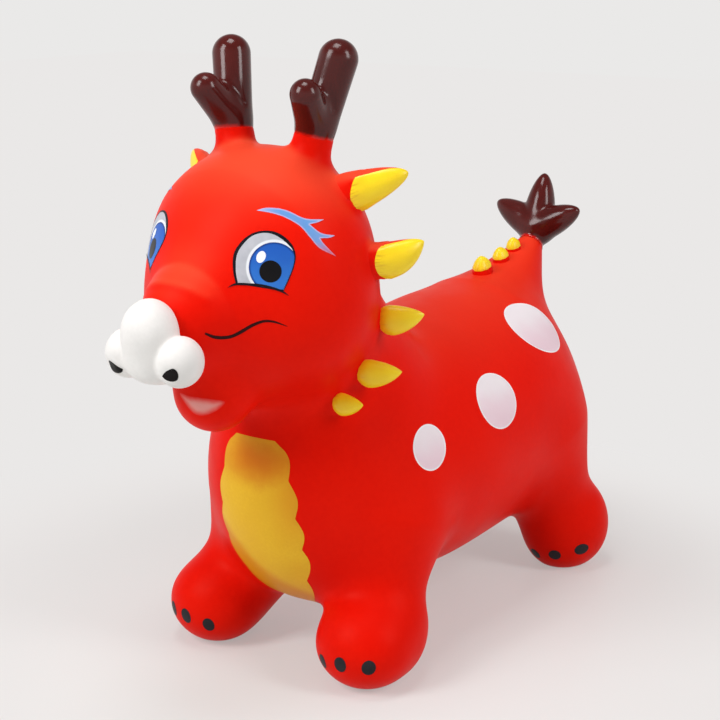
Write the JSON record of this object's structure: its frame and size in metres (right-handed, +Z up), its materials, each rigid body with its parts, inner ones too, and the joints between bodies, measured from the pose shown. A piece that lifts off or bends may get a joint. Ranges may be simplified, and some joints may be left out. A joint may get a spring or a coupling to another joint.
{
  "type": "animal hopper",
  "caption": "Inflatable soft-PVC bouncing animal with a hollow skin, antler handles that flex, spikes, tail tuft, flat soles and a belly valve with a pull-out plug.",
  "frame": {"origin": "bottom centre of the model's box, on the floor under the belly", "axes": "+Z up, the animal faces -Y, its left side is +X"},
  "size_m": [0.266, 0.6566, 0.5619],
  "materials": {
    "red_skin": "satin soft PVC",
    "white_muzzle": "matt painted soft PVC",
    "brown_gloss": "gloss painted soft PVC",
    "yellow_spikes": "satin painted soft PVC",
    "valve_grey": "satin moulded plastic"
  },
  "bodies": {
    "skin": {"body": "red_skin", "head": "red_skin", "tail": "red_skin", "front_left_leg": "red_skin", "front_right_leg": "red_skin", "rear_left_leg": "red_skin", "rear_right_leg": "red_skin", "muzzle": "white_muzzle", "tail_tuft": "brown_gloss", "mane_spike_left_1": "yellow_spikes", "mane_spike_left_2": "yellow_spikes", "mane_spike_left_3": "yellow_spikes", "mane_spike_left_4": "yellow_spikes", "mane_spike_left_5": "yellow_spikes", "mane_spike_right_1": "yellow_spikes", "mane_spike_right_2": "yellow_spikes", "mane_spike_right_3": "yellow_spikes", "mane_spike_right_4": "yellow_spikes", "mane_spike_right_5": "yellow_spikes", "tail_spike_1": "yellow_spikes", "tail_spike_2": "yellow_spikes", "tail_spike_3": "yellow_spikes", "valve_collar": "valve_grey"},
    "antler_left": {"antler_left": "brown_gloss"},
    "antler_right": {"antler_right": "brown_gloss"},
    "valve_plug": {"valve_plug": "valve_grey"}
  },
  "joints": [
    {"name": "antler_left_flex", "type": "hinge", "parent": "skin", "child": "antler_left", "pos_m": [0.0415, -0.14699, 0.477], "axis": [1, 0, 0], "range_deg": [-12, 12], "stiffness_Nm_per_rad": 0.5},
    {"name": "antler_right_flex", "type": "hinge", "parent": "skin", "child": "antler_right", "pos_m": [-0.0415, -0.14699, 0.477], "axis": [1, 0, 0], "range_deg": [-12, 12], "stiffness_Nm_per_rad": 0.5},
    {"name": "valve_plug_slide", "type": "slide", "parent": "skin", "child": "valve_plug", "axis": [0, 0, -1], "range_m": [0, 0.03]}
  ]
}
